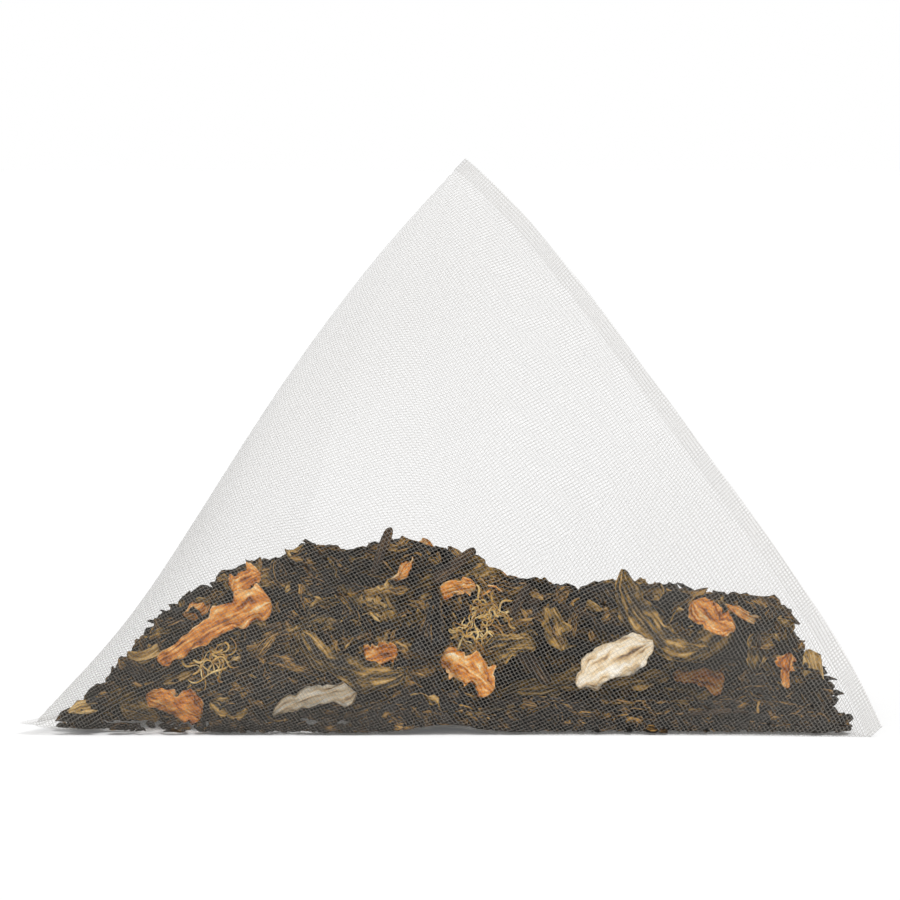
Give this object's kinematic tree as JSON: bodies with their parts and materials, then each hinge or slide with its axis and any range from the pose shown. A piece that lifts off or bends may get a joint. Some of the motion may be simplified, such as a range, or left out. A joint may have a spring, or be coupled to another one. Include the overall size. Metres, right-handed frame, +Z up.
{
  "type": "pyramid tea bag",
  "caption": "Four-faced pyramid bag of clear woven nylon net, welded along two edges, holding loose leaf tea with flower petals for steeping in a cup.",
  "frame": {"origin": "centre of the footprint, at ground level", "axes": "+X along the front bottom edge towards the right corner, +Y from the front face to the rear corner, +Z up"},
  "size_m": [0.0612, 0.0534, 0.0407],
  "materials": {
    "clear_nylon_net": "fine clear woven nylon net, satin",
    "dark_leaf": "dry rolled tea leaf, matt with slight sheen",
    "olive_leaf": "dry olive leaf, matt",
    "orange_petal": "dry petal, matt",
    "cream_petal": "dry petal with grey-brown stripes, matt",
    "gold_fibre": "dry flower fibres, matt",
    "tan_stem": "dry stem, matt"
  },
  "bodies": {
    "root": {"mesh_bag": "clear_nylon_net", "broken_leaf_bed": "dark_leaf", "orange_petal_1": "orange_petal", "orange_petal_2": "orange_petal", "gold_fibre_1": "gold_fibre", "orange_petal_3": "orange_petal", "olive_leaf_1": "olive_leaf", "olive_leaf_2": "olive_leaf", "cream_petal_1": "cream_petal", "orange_petal_4": "orange_petal", "dark_leaf_1": "dark_leaf", "cream_petal_2": "cream_petal", "gold_fibre_2": "gold_fibre", "orange_petal_5": "orange_petal", "olive_leaf_3": "olive_leaf", "stem_1": "tan_stem", "cream_petal_3": "cream_petal", "olive_leaf_4": "olive_leaf", "olive_leaf_5": "olive_leaf", "orange_petal_6": "orange_petal", "olive_leaf_6": "olive_leaf", "dark_leaf_2": "dark_leaf", "orange_petal_7": "orange_petal", "orange_petal_8": "orange_petal", "dark_leaf_3": "dark_leaf", "dark_leaf_4": "dark_leaf", "stem_2": "tan_stem", "stem_3": "tan_stem", "stem_4": "tan_stem", "dark_leaf_5": "dark_leaf", "dark_leaf_6": "dark_leaf", "dark_leaf_7": "dark_leaf", "dark_leaf_8": "dark_leaf", "dark_leaf_9": "dark_leaf", "dark_leaf_10": "dark_leaf", "dark_leaf_11": "dark_leaf", "dark_leaf_12": "dark_leaf", "dark_leaf_13": "dark_leaf", "dark_leaf_14": "dark_leaf", "dark_leaf_15": "dark_leaf", "dark_leaf_16": "dark_leaf", "dark_leaf_17": "dark_leaf", "cream_petal_4": "cream_petal", "orange_petal_9": "orange_petal", "olive_leaf_7": "olive_leaf", "orange_petal_10": "orange_petal", "gold_fibre_3": "gold_fibre", "olive_leaf_8": "olive_leaf", "dark_leaf_18": "dark_leaf", "dark_leaf_19": "dark_leaf", "dark_leaf_20": "dark_leaf", "dark_leaf_21": "dark_leaf", "dark_leaf_22": "dark_leaf", "dark_leaf_23": "dark_leaf", "dark_leaf_24": "dark_leaf", "dark_leaf_25": "dark_leaf", "olive_leaf_9": "olive_leaf", "dark_leaf_26": "dark_leaf", "dark_leaf_27": "dark_leaf", "dark_leaf_28": "dark_leaf"}
  },
  "joints": []
}
